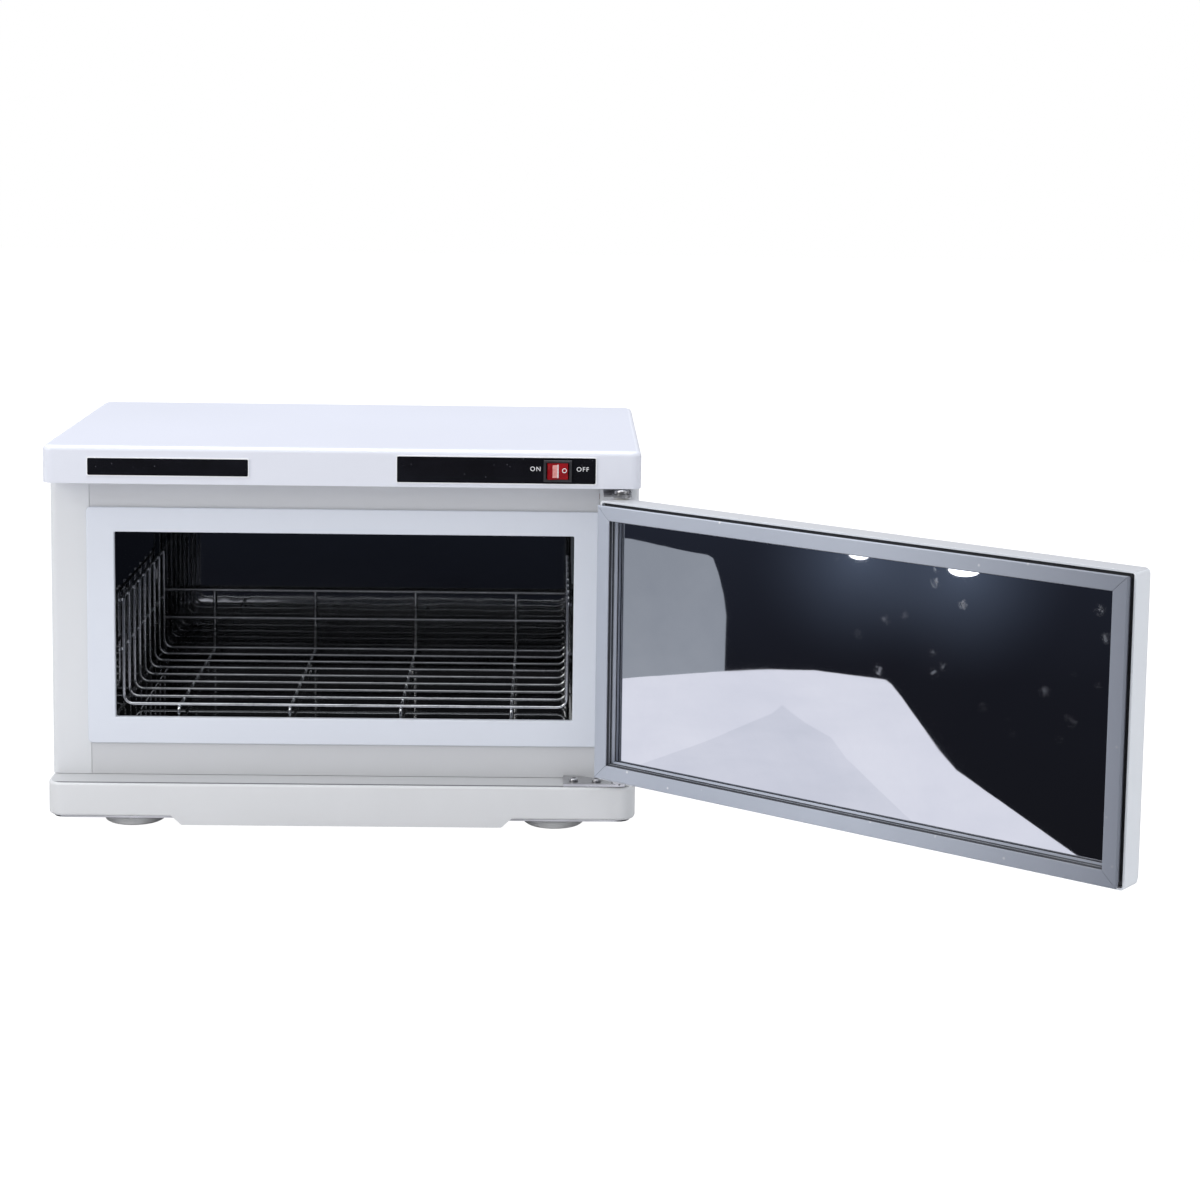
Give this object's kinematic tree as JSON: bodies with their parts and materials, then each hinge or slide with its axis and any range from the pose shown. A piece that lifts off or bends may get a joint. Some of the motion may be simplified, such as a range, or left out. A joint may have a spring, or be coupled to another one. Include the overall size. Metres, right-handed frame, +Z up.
{
  "type": "hot towel cabinet",
  "caption": "Bench-top hot towel cabinet: mirror-lined heated chamber with a wire basket, side-hung door with a bellows gasket, and a rocker switch in the lid fascia.",
  "frame": {"origin": "middle of the lid's flat top; everything else lies below it", "axes": "+Z up, front towards -Y, +X towards the hinge side; stored with the door swung open"},
  "size_m": [0.7764, 0.5601, 0.2955],
  "materials": {
    "white_plastic": "satin moulded white",
    "foot_plastic": "matt white soft foot",
    "white_enamel": "satin white coated sheet",
    "gasket_vinyl": "pale blue-grey soft vinyl",
    "mirror_panel": "dark mirror polish",
    "mirror_liner": "dark mirror polish",
    "chrome_wire": "bright plated wire",
    "black_gloss": "black",
    "dark_plastic": "dark grey moulded",
    "red_plastic": "red moulded",
    "brass_blade": "stamped",
    "red_sleeve": "silicone sleeve",
    "mineral_wool": "fibrous slab",
    "heater_foil": "foil",
    "cream_ceramic": "unglazed cream",
    "zinc_steel": "zinc plated",
    "nylon_bush": "natural nylon"
  },
  "bodies": {
    "cabinet": {"top_cover": "white_plastic", "base_moulding": "white_plastic", "bottom_plate": "zinc_steel", "left_side_panel": "white_enamel", "right_side_panel": "white_enamel", "front_panel": "white_enamel", "back_panel": "white_enamel", "back_panel_screw_1": "zinc_steel", "back_panel_screw_2": "zinc_steel", "back_panel_screw_3": "zinc_steel", "back_panel_screw_4": "zinc_steel", "opening_trim": "white_plastic", "chamber_liner": "mirror_liner", "basket_floor": "chrome_wire", "basket_left_side": "chrome_wire", "basket_right_side": "chrome_wire", "basket_fence": "chrome_wire", "name_plate": "black_gloss", "control_plate": "black_gloss", "switch_housing": "dark_plastic", "switch_terminal_1": "brass_blade", "switch_terminal_2": "brass_blade", "switch_terminal_3": "brass_blade", "switch_loom": "red_sleeve", "cable_gland": "dark_plastic", "left_insulation": "mineral_wool", "right_insulation": "mineral_wool", "top_insulation": "mineral_wool", "rear_insulation": "mineral_wool", "floor_insulation": "mineral_wool", "heater_plate": "heater_foil", "thermostat": "cream_ceramic", "thermal_fuse": "zinc_steel", "terminal_block": "cream_ceramic", "upper_hinge_bracket": "zinc_steel", "upper_bracket_screw_1": "zinc_steel", "upper_bracket_screw_2": "zinc_steel", "pivot_washer": "zinc_steel", "upper_pivot_screw": "zinc_steel", "lower_hinge_bracket": "zinc_steel", "lower_bracket_screw_1": "zinc_steel", "lower_bracket_screw_2": "zinc_steel", "foot_front_left": "foot_plastic", "foot_front_right": "foot_plastic", "foot_rear_left": "foot_plastic", "foot_rear_right": "foot_plastic", "foot_front_left_screw": "zinc_steel", "foot_front_right_screw": "zinc_steel", "foot_rear_left_screw": "zinc_steel", "foot_rear_right_screw": "zinc_steel"},
    "door": {"door_shell": "white_enamel", "door_gasket": "gasket_vinyl", "gasket_retainer": "white_plastic", "door_mirror_panel": "mirror_panel", "door_insulation": "mineral_wool", "lower_door_bush": "nylon_bush", "upper_door_bush": "nylon_bush"},
    "rocker": {"rocker": "red_plastic"}
  },
  "joints": [
    {"name": "door_hinge", "type": "hinge", "parent": "cabinet", "child": "door", "pos_m": [0.2105, -0.1355, -0.1435], "axis": [0, 0, 1], "range_deg": [-141.5, 8.5]},
    {"name": "rocker_pivot", "type": "hinge", "parent": "cabinet", "child": "rocker", "pos_m": [0.162, -0.1398, -0.01505], "axis": [0, 0, 1], "range_deg": [-20, 0]}
  ]
}
